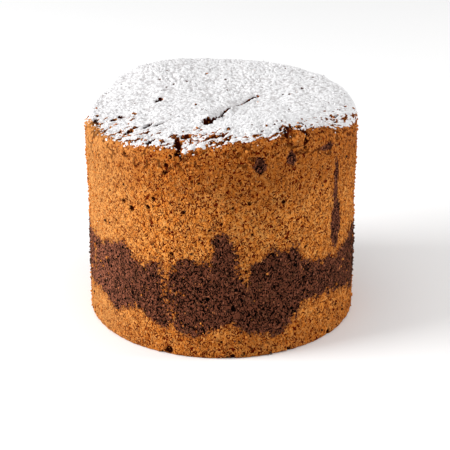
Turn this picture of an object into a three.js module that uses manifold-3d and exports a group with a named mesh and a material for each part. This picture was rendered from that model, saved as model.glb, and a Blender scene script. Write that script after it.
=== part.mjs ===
// Marble chiffon cake: one tall round sponge, baked in a straight-sided tin and turned out upright.
// Its side is open crumb with small pores.
// Its crust has risen unevenly, split along a fault and broken at the rim.
// Millimetres, +Z up. The origin is the centre of the flat base, and the side shown in front faces -Y.
// Angles are in degrees round the cake, from the front (-Y) towards +X.
import * as THREE from "three";
import { mergeVertices } from "three/addons/utils/BufferGeometryUtils.js";
import Module from "manifold-3d";

// Driving dimensions
const BASE_RADIUS = 90.5;
const RIM_HEIGHT = 142; // height of the side where the crust has not swollen
const CROWN = 3; // rise of the crust from its rim to its middle
const RIM_ROUND = 6; // radius of the rounded rim
const FOOT_ROUND = 1.5; // radius of the edge round the base
const FLARE = 1.4; // how much wider the upper side is than the lower
const FLARE_FROM = 78; // height where the flare begins
const FLARE_TO = 118; // height where the flare is full
const WAVE = 0.3; // height of the slow waves on the side
const WAVE_FULL = 12; // the waves fade out below this height
// Each wave: its crests round the cake, the height over which it leans by a radian, its share and its start
const WAVES = [
  { crests: 4, lean: 23, share: 1, start: 0 },
  { crests: 6, lean: -31, share: 0.7, start: 1 },
];
const LIFT_FROM = 50; // the swells of the crust pull on the side down to this height

// Heights of the crust's swells, which follow each other evenly round the rim from the front
const SWELLS = [8.5, 12.5, 0, 3.5, 5, 4, 8.5, -1, -2.5, 3];
const SWELL_RING = 78; // distance of the swells from the axis
const SWELL_REACH = 36; // how far a swell spreads
const LUMP = 0.35; // usual height of the rolling lumps on the crust
const LUMP_LENGTH = 19; // usual spacing of the lumps
const LUMP_WAVES = 7; // plain waves that cross each other to make the lumps
const LUMP_SPAN = [0.8, 1.5]; // shortest and longest of these waves, as shares of the usual spacing
const GOLDEN_ANGLE = Math.PI * (3 - Math.sqrt(5));

// The fault in the crust, in plan, from the front to the back of the cake
const FAULT = [
  [-14.5, -55],
  [-7, -39],
  [-1, -26],
  [5, -13],
  [12, -2],
  [19, 6],
  [24.5, 17],
];
const FAULT_WIDTH = 2.6;
const FAULT_DEPTH = 7;
const SAG = 4.5; // the crust behind the fault lies lower by this
const SAG_AT = -4; // plan y where the sag is deepest
const SAG_STEP = 1.8; // width of the step down at the fault, along X
const SAG_RUN = 11; // width over which the crust rises again behind it, along X
const SAG_REACH = 15; // how far the sag runs along Y
const BREAK_BACK = 1.4; // the crack lies behind the fault's lip by this share of the sag's depth, along X
// The crust pushed up behind the fault's widest gape
const BULGE = { x: -8.2, y: -27, height: 2.4, reach: 6.5 };

// Places where the fault gapes, as plan position, length, width and direction
const GAPES = [
  { x: -8.7, y: -39.8, length: 15, width: 8.5, turn: 85 },
  { x: -8.4, y: -34.5, length: 9, width: 5, turn: 8 },
  { x: -0.5, y: -25, length: 11, width: 6, turn: 62 },
  { x: 22.4, y: 14.8, length: 8, width: 4.4, turn: 41 },
];

// Small tears in the crust, as plan position, length, width and direction
const TEARS = [
  { x: -42.5, y: 11.3, length: 9, width: 6, turn: 58 },
  { x: -84, y: -15, length: 8, width: 3, turn: 70 },
  { x: -71.8, y: -14, length: 6, width: 3.2, turn: 50 },
  { x: -67.3, y: -10, length: 6, width: 3, turn: -43 },
  { x: -60, y: -44, length: 7, width: 3.6, turn: 80 },
  { x: -48.7, y: -33.6, length: 12, width: 4.6, turn: 62 },
  { x: -41, y: -34.3, length: 10.6, width: 4.2, turn: 53 },
  { x: -45.5, y: -68, length: 10, width: 3.6, turn: 62 },
  { x: -22.6, y: -72, length: 8, width: 5.4, turn: 20 },
  { x: 4.5, y: -67.6, length: 4, width: 3.4, turn: 60 },
  { x: 44.3, y: -69, length: 9, width: 4, turn: 30 },
  { x: 51.4, y: -57, length: 5, width: 3, turn: 60 },
  { x: 76.4, y: -18.4, length: 7, width: 2.6, turn: 80 },
];
const TEAR_DEPTH = 4.5;
const SPLIT_TAPER = 0.7; // a split keeps its width along its length better the lower this is
const CUT_ABOVE = 15; // how far the cutters of the splits stand out of the crust

// The cleft that runs over the broken rim, with its ends as angle, height and distance in from the side,
// and the crumb heaved up beside it and at the right
const CLEFT = { top: [-21.2, 149.8, 17], bottom: [-16, 142, 0], width: 6.4, depth: 12 };
const CLEFT_SIDES = [8, 6];
const HEAVED = [
  { angle: -14.8, height: 143.5, inset: 3.5, size: 4.4 },
  { angle: -11.5, height: 145.8, inset: 4, size: 4.4 },
  { angle: -8, height: 148, inset: 4, size: 4.2 },
  { angle: 32.8, height: 149.7, inset: 4.8, size: 7.4 },
  { angle: 28.4, height: 148, inset: 3.5, size: 4 },
];

// Pores that show on the side and chips in the foot, as angle, height and radius
const PORES = [
  { angle: -39.9, height: 100, radius: 2.2 },
  { angle: -44.4, height: 103, radius: 1.7 },
  { angle: -15.4, height: 104.4, radius: 1.6 },
  { angle: 26.2, height: 109.5, radius: 1.7 },
  { angle: 11.6, height: 111.3, radius: 1.6 },
  { angle: -28.6, height: 111, radius: 1.6 },
  { angle: -20.8, height: 142.4, radius: 1.4 },
  { angle: -22.6, height: 136, radius: 1.7 },
  { angle: -23.1, height: 130.8, radius: 1.8 },
  { angle: -22.6, height: 3, radius: 2.6 },
  { angle: 4.8, height: 1.5, radius: 1.8 },
  { angle: 30, height: 1.5, radius: 1.9 },
  { angle: 53, height: 2, radius: 2.2 },
];
const SPREAD_PORES = 48;
const SPREAD_PORE_RADIUS = [1.1, 1.9];
const SPREAD_PORE_HEIGHT = [10, 126];
const PORE_JITTER = 12; // how far, in degrees, a spread pore may stray round the side
const PORE_SEED = 7;
const DRAW_FACTOR = 16807; // the seeded draws are remainders: each is the last one times this, over the range
const DRAW_RANGE = 2147483647;
const CRUMB_UNEVEN = 0.22; // how far the corners of a crumb or a pore stray, as a share of its radius
const CRUMB_BUMPS = [4, 3, 2]; // radians of unevenness over one radius along each axis

// Faceting
const COLUMNS = 96;
const SIDE_ROWS = 15;
const RIM_ROWS = 4;
const CRUST_RINGS = 19;
const TEAR_STEPS = 5;
const FAULT_STEPS = 14;
const LUMP_DETAIL = 1; // how often the twenty faces of a heaved lump are split
const PORE_DETAIL = 0; // the same of a pore
const MERGE_WITHIN = 1e-4; // corners closer than this are one
const CRUST_COLOUR = 0xb5763a;

const wasm = await Module();
wasm.setup();

// A closed geometry as a solid
function solidOf(geometry) {
  const bare = geometry.clone();
  bare.deleteAttribute("normal");
  bare.deleteAttribute("uv");
  const merged = mergeVertices(bare, MERGE_WITHIN);
  const mesh = new wasm.Mesh({
    numProp: 3,
    vertProperties: new Float32Array(merged.attributes.position.array),
    triVerts: new Uint32Array(merged.index.array),
  });
  return new wasm.Manifold(mesh);
}

// A solid as a geometry
function geometryOf(solid) {
  const mesh = solid.getMesh();
  const geometry = new THREE.BufferGeometry();
  geometry.setAttribute("position", new THREE.BufferAttribute(mesh.vertProperties, 3));
  geometry.setIndex(new THREE.BufferAttribute(mesh.triVerts, 1));
  geometry.computeVertexNormals();
  return geometry;
}

// Plan x of the fault at a plan y
function faultX(y) {
  const next = FAULT.findIndex(([, at], i) => i > 0 && (at > y || i === FAULT.length - 1));
  const [[x0, y0], [x1, y1]] = FAULT.slice(next - 1, next + 1);
  return THREE.MathUtils.lerp(x0, x1, THREE.MathUtils.clamp((y - y0) / (y1 - y0), 0, 1));
}

// Depth of the crust behind the fault: a step at its line, from where the crust rises again over a run.
// It fades along the fault, away from where it is deepest.
function sag(x, y) {
  const behind = faultX(y) - x;
  const fade = Math.exp(-(((y - SAG_AT) / SAG_REACH) ** 2) - (Math.max(behind, 0) / SAG_RUN) ** 2);
  return SAG * THREE.MathUtils.smoothstep(behind, 0, SAG_STEP) * fade;
}

// Lumps of the crust: plain waves in directions a golden angle apart, each a little longer than the last
function lumps(x, y) {
  let sum = 0;
  for (let i = 0; i < LUMP_WAVES; i++) {
    const heading = i * GOLDEN_ANGLE;
    const length = LUMP_LENGTH * THREE.MathUtils.lerp(...LUMP_SPAN, i / LUMP_WAVES);
    sum += Math.sin(((x * Math.cos(heading) + y * Math.sin(heading)) * 2 * Math.PI) / length + i * i);
  }
  return LUMP * Math.sqrt(2 / LUMP_WAVES) * sum;
}

// Height of a bell-shaped rise at a distance from its middle
function bell(height, reach, away) {
  return height * Math.exp(-((away / reach) ** 2));
}

// Height that the crust's swells, lumps and bulge add at a place in plan, less its sag
function crustLift(x, y) {
  const swells = SWELLS.map((height, i) => {
    const a = (i * 2 * Math.PI) / SWELLS.length;
    return bell(height, SWELL_REACH, Math.hypot(x - SWELL_RING * Math.sin(a), y + SWELL_RING * Math.cos(a)));
  });
  const bulge = bell(BULGE.height, BULGE.reach, Math.hypot(x - BULGE.x, y - BULGE.y));
  return swells.reduce((sum, swell) => sum + swell, 0) + bulge + lumps(x, y) - sag(x, y);
}

// Radius of the side at an angle and a height
function sideRadius(angle, height) {
  const a = THREE.MathUtils.degToRad(angle);
  const flare = FLARE * THREE.MathUtils.smoothstep(height, FLARE_FROM, FLARE_TO);
  const waves = WAVES.map(
    ({ crests, lean, share, start }) => share * Math.sin(crests * a + height / lean + start),
  );
  const sum = waves.reduce((total, wave) => total + wave, 0);
  return BASE_RADIUS + flare + WAVE * sum * THREE.MathUtils.smoothstep(height, 0, WAVE_FULL);
}

// A point of the plain turned cake, moved to where the baked one has it
function baked(x, y, z) {
  const angle = THREE.MathUtils.radToDeg(Math.atan2(x, -y));
  const widen = sideRadius(angle, z) / BASE_RADIUS;
  const pull = THREE.MathUtils.smoothstep(z, LIFT_FROM, RIM_HEIGHT - RIM_ROUND);
  return new THREE.Vector3(x * widen, y * widen, z + pull * crustLift(x, y));
}

// A point on the side at an angle and a height, moved in towards the axis by inset
function sidePoint(angle, height, inset = 0) {
  const a = THREE.MathUtils.degToRad(angle);
  const r = sideRadius(angle, height) - inset;
  return new THREE.Vector3(r * Math.sin(a), -r * Math.cos(a), height);
}

// Half the cake's outline, from the middle of the base up the side and over the crust to the axis
function profile() {
  const r = BASE_RADIUS;
  const shoulder = RIM_HEIGHT - RIM_ROUND;
  const points = [new THREE.Vector2(0, 0), new THREE.Vector2(r / 2, 0), new THREE.Vector2(r - FOOT_ROUND, 0)];
  for (let i = 0; i <= SIDE_ROWS; i++) {
    points.push(new THREE.Vector2(r, FOOT_ROUND + ((shoulder - FOOT_ROUND) * i) / SIDE_ROWS));
  }
  for (let i = 1; i <= RIM_ROWS; i++) {
    const a = (Math.PI / 2) * (i / RIM_ROWS);
    points.push(new THREE.Vector2(r - RIM_ROUND * (1 - Math.cos(a)), shoulder + RIM_ROUND * Math.sin(a)));
  }
  const flat = r - RIM_ROUND;
  for (let i = 1; i <= CRUST_RINGS; i++) {
    const s = 1 - i / CRUST_RINGS;
    points.push(new THREE.Vector2(flat * s, RIM_HEIGHT + CROWN * (1 - s * s)));
  }
  return points;
}

// The whole sponge before its crust tears
function sponge() {
  const geometry = new THREE.LatheGeometry(profile(), COLUMNS).rotateX(Math.PI / 2);
  const place = geometry.attributes.position;
  for (let i = 0; i < place.count; i++) {
    const p = baked(place.getX(i), place.getY(i), place.getZ(i));
    place.setXYZ(i, p.x, p.y, p.z);
  }
  return solidOf(geometry);
}

// Height of the crust at a place in plan
function crustHeight(x, y) {
  const s = Math.hypot(x, y) / (BASE_RADIUS - RIM_ROUND);
  return RIM_HEIGHT + CROWN * (1 - s * s) + crustLift(x, y);
}

// An upright cutter whose outline in plan follows a curve, widest at its middle and pointed at both ends
function slit(curve, width, steps, depth) {
  const centre = curve.getPoint(0.5);
  const sides = [1, -1].map((side) =>
    Array.from({ length: steps - 1 }, (_, i) => {
      const t = (i + 1) / steps;
      const tangent = curve.getTangent(t);
      const reach = (side * width * Math.sin(Math.PI * t) ** SPLIT_TAPER) / 2;
      return curve.getPoint(t).add(new THREE.Vector2(-tangent.y, tangent.x).multiplyScalar(reach));
    }),
  );
  const outline = [curve.getPoint(0), ...sides[1], curve.getPoint(1), ...sides[0].reverse()];
  const options = { depth: depth + CUT_ABOVE, bevelEnabled: false };
  const geometry = new THREE.ExtrudeGeometry(new THREE.Shape(outline), options);
  return solidOf(geometry.translate(0, 0, crustHeight(centre.x, centre.y) - depth));
}

// The crack along the fault, which opened behind its lip where the crust sagged
function faultCut() {
  const back = (y) => BREAK_BACK * bell(SAG, SAG_REACH, y - SAG_AT);
  const curve = new THREE.SplineCurve(FAULT.map(([x, y]) => new THREE.Vector2(x - back(y), y)));
  return slit(curve, FAULT_WIDTH, FAULT_STEPS, FAULT_DEPTH);
}

// A straight tear in the crust
function tearCut({ x, y, length, width, turn }, depth) {
  const a = THREE.MathUtils.degToRad(turn);
  const half = new THREE.Vector2(Math.cos(a), Math.sin(a)).multiplyScalar(length / 2);
  const middle = new THREE.Vector2(x, y);
  const line = new THREE.LineCurve(middle.clone().sub(half), middle.clone().add(half));
  return slit(line, width, TEAR_STEPS, depth);
}

// The cleft: a long ball laid from the crust over the rim and down the side
function cleftCut() {
  const [top, bottom] = [sidePoint(...CLEFT.top), sidePoint(...CLEFT.bottom)];
  const along = top.clone().sub(bottom);
  const length = along.length();
  const pole = new THREE.Vector3(0, 1, 0);
  const lean = new THREE.Quaternion().setFromUnitVectors(pole, along.normalize());
  const geometry = new THREE.SphereGeometry(1, ...CLEFT_SIDES)
    .scale(CLEFT.width / 2, length / 2, CLEFT.depth / 2)
    .applyQuaternion(lean);
  const middle = top.add(bottom).multiplyScalar(0.5);
  return solidOf(geometry.translate(middle.x, middle.y, middle.z));
}

// An uneven ball of crumb, or the hollow that one leaves, on the side: each of its corners is drawn in or out
function crumb(angle, height, radius, inset, detail) {
  const geometry = new THREE.IcosahedronGeometry(radius, detail);
  const place = geometry.attributes.position;
  for (let i = 0; i < place.count; i++) {
    const p = new THREE.Vector3().fromBufferAttribute(place, i);
    const [u, v, w] = p.toArray().map((part, axis) => (CRUMB_BUMPS[axis] * part) / radius);
    p.multiplyScalar(1 + CRUMB_UNEVEN * Math.sin(u + angle) * Math.cos(v - height + w));
    place.setXYZ(i, p.x, p.y, p.z);
  }
  const at = sidePoint(angle, height, inset);
  return solidOf(geometry.translate(at.x, at.y, at.z));
}

// Further pores, spread evenly round the side by the golden angle and jittered by a seeded draw
function spreadPores() {
  let state = PORE_SEED;
  const draw = () => (state = (state * DRAW_FACTOR) % DRAW_RANGE) / DRAW_RANGE;
  const golden = THREE.MathUtils.radToDeg(GOLDEN_ANGLE);
  return Array.from({ length: SPREAD_PORES }, (_, i) => ({
    angle: i * golden + PORE_JITTER * draw(),
    height: THREE.MathUtils.lerp(...SPREAD_PORE_HEIGHT, (i + draw()) / SPREAD_PORES),
    radius: THREE.MathUtils.lerp(...SPREAD_PORE_RADIUS, draw() ** 2),
  }));
}

function cake() {
  const heaved = HEAVED.map(({ angle, height, inset, size }) =>
    crumb(angle, height, size, inset, LUMP_DETAIL),
  );
  const whole = heaved.reduce((solid, lump) => solid.add(lump), sponge());
  const pores = [...PORES, ...spreadPores()].map(({ angle, height, radius }) =>
    crumb(angle, height, radius, 0, PORE_DETAIL),
  );
  const gapes = GAPES.map((gape) => tearCut(gape, FAULT_DEPTH));
  const tears = TEARS.map((tear) => tearCut(tear, TEAR_DEPTH));
  const cuts = [faultCut(), ...gapes, ...tears, cleftCut(), ...pores];
  const mesh = new THREE.Mesh(
    geometryOf(cuts.reduce((solid, cut) => solid.subtract(cut), whole)),
    new THREE.MeshStandardMaterial({ color: CRUST_COLOUR, roughness: 0.95, metalness: 0 }),
  );
  mesh.name = "cake";
  return mesh;
}

const root = new THREE.Group();
root.add(cake());

export default root;
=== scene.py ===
import math
from itertools import combinations, product

import bpy
import numpy as np
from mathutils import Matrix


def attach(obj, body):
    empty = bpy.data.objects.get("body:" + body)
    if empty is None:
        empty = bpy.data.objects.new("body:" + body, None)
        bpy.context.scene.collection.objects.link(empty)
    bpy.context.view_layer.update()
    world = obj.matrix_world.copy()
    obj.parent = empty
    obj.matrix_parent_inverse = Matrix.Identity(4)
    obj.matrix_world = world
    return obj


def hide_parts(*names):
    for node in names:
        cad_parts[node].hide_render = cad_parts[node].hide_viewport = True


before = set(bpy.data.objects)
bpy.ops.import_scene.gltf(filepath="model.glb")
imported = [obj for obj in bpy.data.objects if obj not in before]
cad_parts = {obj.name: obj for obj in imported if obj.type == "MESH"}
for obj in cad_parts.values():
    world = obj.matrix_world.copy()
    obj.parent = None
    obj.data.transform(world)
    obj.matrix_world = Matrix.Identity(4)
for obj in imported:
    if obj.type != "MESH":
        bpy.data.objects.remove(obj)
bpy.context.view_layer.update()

# The lower vanilla sponge
# The first vanilla batter that went into the tin, now the pale foot of the cake with its flat base.
# Turned out of a straight tin, its side is open crumb: burst bubbles between dry golden walls.
MM = 0.001
BASE_RADIUS = 90.5
RIM_HEIGHT = 142.0
CROWN = 3.0
RIM_ROUND = 6.0
FOOT_ROUND = 1.5
FLARE = 1.4
FLARE_SPAN = (78.0, 118.0)
# Slow waves on the side: crests round it, height for a lean of one radian, share, start
WAVE = 0.3
WAVE_FULL = 12.0
WAVES = [(4, 23.0, 1, 0), (6, -31.0, 0.7, 1.0)]
LIFT_FROM = 50.0
SHOULDER = RIM_HEIGHT - RIM_ROUND
CRUST_RADIUS = BASE_RADIUS - RIM_ROUND

# Heights of the crust's swells, evenly round the rim from the front
SWELLS = [8.5, 12.5, 0, 3.5, 5, 4, 8.5, -1, -2.5, 3]
SWELL_RING = 78.0
SWELL_REACH = 36.0
LUMP = 0.35
LUMP_LENGTH = 19.0
LUMP_WAVES = 7
LUMP_SPAN = (0.8, 1.5)
GOLDEN_ANGLE = math.pi * (3 - math.sqrt(5))

# The fault in the crust, in plan from front to back, and the sag behind it
FAULT = [(-14.5, -55), (-7, -39), (-1, -26), (5, -13), (12, -2), (19, 6), (24.5, 17)]
SAG = 4.5
SAG_AT = -4.0
SAG_STEP = 1.8
SAG_RUN = 11.0
SAG_REACH = 15.0
# The crust pushed up behind the fault's widest gape: plan x, plan y, height, reach
BULGE = (-8.2, -27.0, 2.4, 6.5)


def eased(value, start, stop):
    """Smoothstep: 3t² - 2t³ of the share t of the way from start to stop, held at 0 and 1."""
    t = np.clip((value - start) / (stop - start), 0, 1)
    return t * t * (3 - 2 * t)


def bell(distance, reach):
    """Bell curve: the exponential of minus the square of distance over reach."""
    return np.exp(-((distance / reach) ** 2))


def between(ends, share):
    """The value at a share of the way from the first end to the second."""
    first, second = ends
    return first + (second - first) * share


def behind_fault(x, y):
    """Distance along X behind the fault's line."""
    fault_x, fault_y = np.transpose(FAULT)
    return np.interp(y, fault_y, fault_x) - x


def sag(x, y):
    """Depth of the crust behind the fault: a step at its line, fading over a run and along the fault."""
    behind = behind_fault(x, y)
    fade = bell(y - SAG_AT, SAG_REACH) * bell(np.maximum(behind, 0), SAG_RUN)
    return SAG * eased(behind, 0, SAG_STEP) * fade


def crust_lift(x, y):
    """Height added to the plain crust: bells for bulge and swells, crossing waves, less the sag."""
    bulge_x, bulge_y, bulge_height, bulge_reach = BULGE
    lift = bulge_height * bell(np.hypot(x - bulge_x, y - bulge_y), bulge_reach) - sag(x, y)
    for i, height in enumerate(SWELLS):
        turn = 2 * math.pi * i / len(SWELLS)
        away = np.hypot(x - SWELL_RING * math.sin(turn), y + SWELL_RING * math.cos(turn))
        lift = lift + height * bell(away, SWELL_REACH)
    for i in range(LUMP_WAVES):
        heading = i * GOLDEN_ANGLE
        length = LUMP_LENGTH * between(LUMP_SPAN, i / LUMP_WAVES)
        phase = (x * math.cos(heading) + y * math.sin(heading)) * 2 * math.pi / length + i * i
        lift = lift + LUMP * math.sqrt(2 / LUMP_WAVES) * np.sin(phase)
    return lift


def side_radius(angle, height):
    """Radius of the side: the base radius, a flare higher up, and slow waves."""
    a = np.radians(angle)
    flare = FLARE * eased(height, *FLARE_SPAN)
    waves = sum(share * np.sin(crests * a + height / lean + start) for crests, lean, share, start in WAVES)
    return BASE_RADIUS + flare + WAVE * waves * eased(height, 0, WAVE_FULL)


def baked(angle, radius, height):
    """Points of the plain turned cake, moved to where baking left them."""
    a = np.radians(angle)
    x, y = radius * np.sin(a), -radius * np.cos(a)
    widen = side_radius(angle, height) / BASE_RADIUS
    lift = eased(height, LIFT_FROM, SHOULDER) * crust_lift(x, y)
    return np.stack([x * widen, y * widen, height + lift], -1)


def side_point(angle, height, inset=0.0):
    """A point on the side, moved in towards the axis by inset."""
    a = math.radians(angle)
    radius = side_radius(angle, height) - inset
    return np.array([radius * math.sin(a), -radius * math.cos(a), height])


PRIMES = [np.uint32(prime) for prime in (374761393, 668265263, 2246822519, 3266489917)]
DRAW_BITS = 24


def drawn(cells, seed):
    """A number from 0 to 1 for each cell: its place and the seed, each times a prime, added and mixed."""
    c = cells.astype(np.int64).astype(np.uint32)
    h = c[..., 0] * PRIMES[0] + c[..., 1] * PRIMES[1] + c[..., 2] * PRIMES[2]
    h = h + np.uint32(seed * int(PRIMES[3]) % 2**32)
    h = (h ^ (h >> np.uint32(15))) * PRIMES[2]
    h = (h ^ (h >> np.uint32(13))) * PRIMES[3]
    h = h ^ (h >> np.uint32(16))
    return (h & np.uint32(2**DRAW_BITS - 1)) / float(2**DRAW_BITS)


CORNERS = np.array(list(product((0, 1), repeat=3)))
NEIGHBOURS = np.array(list(product((-1, 0, 1), repeat=3)))


def soft_noise(points, size, seed):
    """Noise from -1 to 1: draws at the corners of cells of that size, blended by eased shares."""
    place = points / size
    cell = np.floor(place)
    share = eased(place - cell, 0, 1)
    total = 0.0
    for corner in CORNERS:
        weight = np.prod(np.where(corner == 1, share, 1 - share), axis=-1)
        total = total + weight * drawn(cell + corner, seed)
    return 2 * total - 1


def ruffled(points, waves):
    """Sum of soft noises, each given by height, size and seed."""
    return sum(height * soft_noise(points, size, seed) for height, size, seed in waves)


def bubbles(points, size, share, radii, seed):
    """Depth into bubbles, 0 to 1: a share of the cells holds a jittered ball of a drawn radius."""
    cell = np.floor(points / size)
    depth = 0.0
    for step in NEIGHBOURS:
        near = cell + step
        jitter = np.stack([drawn(near, seed + k) for k in range(3)], -1)
        radius = between(radii, drawn(near, seed + 3) ** 2)
        away = np.linalg.norm(points - (near + jitter) * size, axis=-1)
        here = np.where(drawn(near, seed + 4) < share, 1 - (away / radius) ** 2, 0)
        depth = np.maximum(depth, here)
    return depth


# How open the crumb is: height where it is most open, reach, least, rise there, patches
OPEN_AT = 82.0
OPEN_REACH = 38.0
OPEN_LEAST = 0.25
OPEN_RISE = 0.6
OPEN_PATCHES = [(0.3, 28.0, 5)]
# Bumps of the crumb, as height and size
BUMPS = [(0.30, 4.2), (0.28, 1.9)]
# Bubbles: cell, share of cells filled, what open crumb adds to it, radii, depth, and how much painted shade
# they get
BUBBLES = [
    (2.3, 0.25, 0.45, (0.5, 1.15), 0.8, 0.75),
    (5.0, 0.08, 0.5, (0.8, 1.7), 1.3, 1.0),
    (15.0, 0.08, 0.2, (1.2, 2.1), 2.2, 1.0),
]


def crumb(points, seed):
    """Height of the crumb in mm, soft noise less three kinds of bubble, and its pits as a share of painted
    shade, 0 to 1.
    """
    middle = bell(points[..., 2] - OPEN_AT, OPEN_REACH)
    openness = np.clip(OPEN_LEAST + OPEN_RISE * middle + ruffled(points, OPEN_PATCHES), 0, 1)
    height = ruffled(points, [(rise, size, seed + i) for i, (rise, size) in enumerate(BUMPS)])
    pits = 0.0
    for i, (size, share, more, radii, deep, dark) in enumerate(BUBBLES, 1):
        here = bubbles(points, size, share + more * openness, radii, seed + 10 * i)
        height = height - deep * here
        pits = np.maximum(pits, dark * here)
    return height, pits


# Pores on the side and chips in the foot, as angle, height and radius
PORES = [
    (-39.9, 100, 2.2), (-44.4, 103, 1.7), (-15.4, 104.4, 1.6), (26.2, 109.5, 1.7), (11.6, 111.3, 1.6),
    (-28.6, 111, 1.6), (-20.8, 142.4, 1.4), (-22.6, 136, 1.7), (-23.1, 130.8, 1.8), (-22.6, 3, 2.6),
    (4.8, 1.5, 1.8), (30, 1.5, 1.9), (53, 2, 2.2),
]
SPREAD_PORES = 48
SPREAD_PORE_RADIUS = (1.1, 1.9)
SPREAD_PORE_HEIGHT = (10.0, 126.0)
PORE_JITTER = 12.0
PORE_SEED = 7
DRAW_FACTOR = 16807
DRAW_RANGE = 2147483647


def spread_pores():
    """More pores by the golden angle, jittered by draws: each the last times a factor, modulo a range."""
    draws = [PORE_SEED]
    for _ in range(3 * SPREAD_PORES):
        draws.append(draws[-1] * DRAW_FACTOR % DRAW_RANGE)
    turn, rise, size = (np.array(draws[1:]) / DRAW_RANGE).reshape(-1, 3).T
    number = np.arange(SPREAD_PORES)
    angle = np.degrees(number * GOLDEN_ANGLE) + PORE_JITTER * turn
    height = between(SPREAD_PORE_HEIGHT, (number + rise) / SPREAD_PORES)
    return list(zip(angle, height, between(SPREAD_PORE_RADIUS, size**2)))


def pore_depth(points):
    """Depth of the pores in mm, as balls of their radius with their middles on the side."""
    depth = 0.0
    for *place, radius in PORES + spread_pores():
        away = np.linalg.norm(points - side_point(*place), axis=-1)
        depth = np.maximum(depth, np.sqrt(np.maximum(radius**2 - away**2, 0)))
    return depth


# Edges of the cocoa batter round the side, as angle and height
BAND_TOP = [
    (-75, 64), (-60, 63), (-54, 68), (-46, 73), (-40, 64), (-35, 62), (-26, 68), (-22, 59), (-18, 71),
    (-4, 70), (-3, 88), (1, 88), (4, 82), (7, 66), (11, 49), (13, 66), (20, 75), (28, 73), (31, 78), (35, 74),
    (36, 64), (47, 58), (62, 57), (75, 67), (95, 62), (112, 74), (124, 60), (146, 70), (165, 58), (180, 76),
    (186, 84), (193, 64), (215, 72), (238, 58), (262, 69),
]
BAND_FOOT = [
    (-76, 26), (-62, 28), (-52, 21), (-40, 29), (-36, 29), (-27, 20), (-20, 24), (-15, 14), (-9, 17), (5, 27),
    (9, 20), (25, 14), (31, 25), (37, 35), (48, 34), (65, 27), (79, 20), (98, 27), (115, 18), (132, 30),
    (150, 22), (170, 33), (190, 20), (212, 28), (236, 16), (258, 27),
]
# Noise that bends these edges round and up, and breaks them up by crumbs
BAND_TURNS = [(1.2, 5.0, 43)]
BAND_RISES = [(2.0, 9.0, 41), (2.2, 3.2, 42)]
BAND_CRUMBS = [(1.2, 3.4, 48), (1.7, 1.5, 47)]
# Places where the batters were stirred: angle, height, half width, half height, cocoa's depth left
STIRRED = [
    (-24.5, 62, 6, 9, 0.1), (-24.4, 48, 3.4, 9, 0.5), (-20.8, 30, 3.2, 8, 0.5), (-18.8, 20, 2.6, 5, 0.4),
    (-22.5, 40, 9, 24, 1.7), (-71, 47, 3.2, 13, 0.2), (97, 46, 5, 14, 0.3), (228, 40, 6, 12, 0.3),
]
STIRRED_FULL = 0.7
STIRRED_SLOPE = 8.0


def round_from(points, angle, height, half_width, half_height):
    """Distance on the side from a place, as a share of an ellipse's half sizes."""
    turn = np.degrees(np.arctan2(points[..., 0], -points[..., 1]))
    round_by = np.radians((turn - angle + 180) % 360 - 180) * BASE_RADIUS
    return np.hypot(round_by / half_width, (points[..., 2] - height) / half_height)


def below_edge(angle, height, edge):
    """Distance below an edge of the band in mm: the drop to its line, less where the line is steep."""
    line = np.transpose(edge)
    drop = np.interp(angle, *line, period=360) - height
    ahead, behind = [np.interp(angle + step, *line, period=360) for step in (0.5, -0.5)]
    steep = (ahead - behind) / math.radians(BASE_RADIUS)
    return drop / np.sqrt(1 + steep**2)


def cocoa_depth(points):
    """Distance inside the cocoa batter in mm, to its band's nearer ragged edge, near 0 where stirred."""
    angle = np.degrees(np.arctan2(points[..., 0], -points[..., 1])) + ruffled(points, BAND_TURNS)
    height = points[..., 2] + ruffled(points, BAND_RISES)
    depth = np.minimum(below_edge(angle, height, BAND_TOP), -below_edge(angle, height, BAND_FOOT))
    for *place, left in STIRRED:
        limit = left + STIRRED_SLOPE * np.maximum(round_from(points, *place) - STIRRED_FULL, 0)
        depth = np.where(depth > 0, np.minimum(depth, limit), depth)
    return depth + ruffled(points, BAND_CRUMBS)


SINK_START = 0.1
SINK_SLOPE = 0.18
SINK_MOST = 3.5


def sunk_by(inside):
    """Depth of a layer in mm: outside its batter, a share of the distance to its edge, up to a limit."""
    return np.clip(SINK_START - SINK_SLOPE * inside, 0, SINK_MOST)


def crumb_skin(plain, inside, seed):
    """A layer's side, moved along the radius by its crumb and its depth, its pits of painted shade with its
    pores, and that depth in mm.
    """
    height, pits = crumb(plain, seed)
    hollow = pore_depth(plain)
    sunk = sunk_by(inside)
    skin = plain.copy()
    radius = np.linalg.norm(plain[..., :2], axis=-1)
    skin[..., :2] *= (1 + (height - hollow - sunk) / radius)[..., None]
    return skin, np.maximum(pits, eased(hollow, 0.2, 1.2)), sunk


def drum(columns, radius, height):
    """Points of a plain drum: a row for each radius and height, with so many columns round it."""
    angle = np.arange(columns) * 360 / columns
    return baked(angle, np.reshape(radius, (-1, 1)), height[:, None] + 0 * angle)


def ring_faces(rows, columns):
    """Quads between the rows of a grid that goes round, and fans that close its first and last row."""
    here = np.arange(columns)
    after = np.roll(here, -1)
    first = np.arange(rows - 1)[:, None] * columns
    quads = np.stack([first + here, first + after, first + columns + after, first + columns + here], -1)
    top = (rows - 1) * columns
    low_fan = np.stack([0 * here + rows * columns, after, here], -1)
    high_fan = np.stack([0 * here + rows * columns + 1, top + here, top + after], -1)
    return [quads.reshape(-1, 4), np.concatenate([low_fan, high_fan])]


# The flat map of a drum: strips of its side, and the middles and radius of its ends
STRIPS = 3
STRIP_HEIGHT = 0.29
STRIP_STEP = 0.3
END_MIDDLES = [(0.06, 0.95), (0.18, 0.95)]
END_RADIUS = 0.045


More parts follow.
